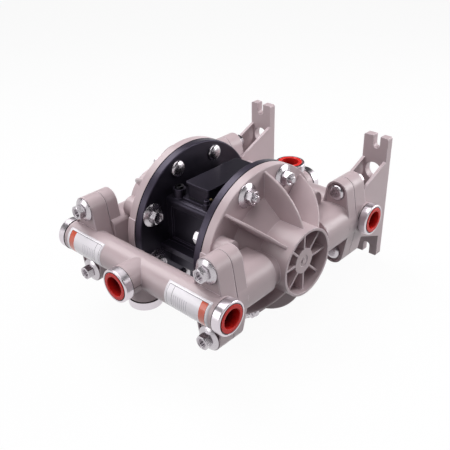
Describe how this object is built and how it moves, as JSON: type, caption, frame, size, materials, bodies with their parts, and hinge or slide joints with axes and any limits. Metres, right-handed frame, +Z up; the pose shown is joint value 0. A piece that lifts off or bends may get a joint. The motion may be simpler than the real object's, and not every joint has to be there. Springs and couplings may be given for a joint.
{
  "type": "air operated diaphragm pump",
  "caption": "Air operated double diaphragm pump: ribbed round caps on a black centre body, pipe manifolds with banded ports and slotted mounting feet.",
  "frame": {"origin": "centre of the bounding box in plan, on the plane that the round caps rest on", "axes": "+X along the diaphragm rod, +Y from the outlet manifold to the inlet manifold with the feet, +Z up"},
  "size_m": [0.2255, 0.3134, 0.166],
  "materials": {
    "tan plastic": "satin moulded, warm grey beige",
    "black plastic": "satin moulded, near black",
    "bright steel": "bright stainless",
    "black steel": "black oxide",
    "red plastic": "soft shiny red",
    "rubber": "matt black",
    "rod steel": "ground",
    "aluminium": "machined",
    "bronze": "sintered bronze",
    "white plastic": "smooth white"
  },
  "bodies": {
    "root": {"air_cap_left": "black plastic", "air_cap_right": "black plastic", "body_screws": "black steel", "cap_bolts_left": "bright steel", "cap_bolts_right": "bright steel", "cap_nuts_left": "bright steel", "cap_nuts_right": "bright steel", "cap_washers_left": "bright steel", "cap_washers_right": "bright steel", "center_body": "black plastic", "diaphragm_left": "rubber", "diaphragm_right": "rubber", "fluid_cap_left": "tan plastic", "fluid_cap_right": "tan plastic", "inlet_flange_bolts": "bright steel", "inlet_flange_nuts": "bright steel", "inlet_flange_washers": "bright steel", "inlet_manifold": "tan plastic", "inlet_port_bands": "bright steel", "inlet_port_plugs": "red plastic", "outlet_flange_bolts": "bright steel", "outlet_flange_nuts": "bright steel", "outlet_flange_washers": "bright steel", "outlet_manifold": "tan plastic", "outlet_port_bands": "bright steel", "outlet_port_plugs": "red plastic", "rod_bushings": "bronze", "seat_inlet_left": "white plastic", "seat_inlet_right": "white plastic", "seat_outlet_left": "white plastic", "seat_outlet_right": "white plastic", "seat_seal_inlet_left": "rubber", "seat_seal_inlet_right": "rubber", "seat_seal_outlet_left": "rubber", "seat_seal_outlet_right": "rubber", "valve_block": "black plastic", "valve_cover": "black plastic", "valve_end_plug": "black plastic", "valve_gasket": "rubber"},
    "rod": {"diaphragm_rod": "rod steel", "inner_washer_right": "aluminium", "inner_washer_left": "aluminium", "outer_washer_right": "aluminium", "outer_washer_left": "aluminium", "rod_nut_right": "rod steel", "rod_nut_left": "rod steel"},
    "pilot": {"pilot_rod": "rod steel"},
    "spool": {"valve_spool": "aluminium"},
    "ball_outlet_right": {"ball_outlet_right": "white plastic"},
    "ball_outlet_left": {"ball_outlet_left": "white plastic"},
    "ball_inlet_right": {"ball_inlet_right": "white plastic"},
    "ball_inlet_left": {"ball_inlet_left": "white plastic"}
  },
  "joints": [
    {"name": "rod_slide", "type": "slide", "parent": "root", "child": "rod", "axis": [1, 0, 0], "range_m": [-0.006, 0.006], "deforming": ["diaphragm_right", "diaphragm_left"]},
    {"name": "pilot_slide", "type": "slide", "parent": "root", "child": "pilot", "axis": [1, 0, 0], "range_m": [-0.003, 0.003]},
    {"name": "spool_slide", "type": "slide", "parent": "root", "child": "spool", "axis": [0, 1, 0], "range_m": [-0.0045, 0.0045]},
    {"name": "ball_lift_outlet_right", "type": "slide", "parent": "root", "child": "ball_outlet_right", "axis": [0, -1, 0], "range_m": [0, 0.0045]},
    {"name": "ball_lift_outlet_left", "type": "slide", "parent": "root", "child": "ball_outlet_left", "axis": [0, -1, 0], "range_m": [0, 0.0045]},
    {"name": "ball_lift_inlet_right", "type": "slide", "parent": "root", "child": "ball_inlet_right", "axis": [0, -1, 0], "range_m": [0, 0.0045]},
    {"name": "ball_lift_inlet_left", "type": "slide", "parent": "root", "child": "ball_inlet_left", "axis": [0, -1, 0], "range_m": [0, 0.0045]}
  ]
}
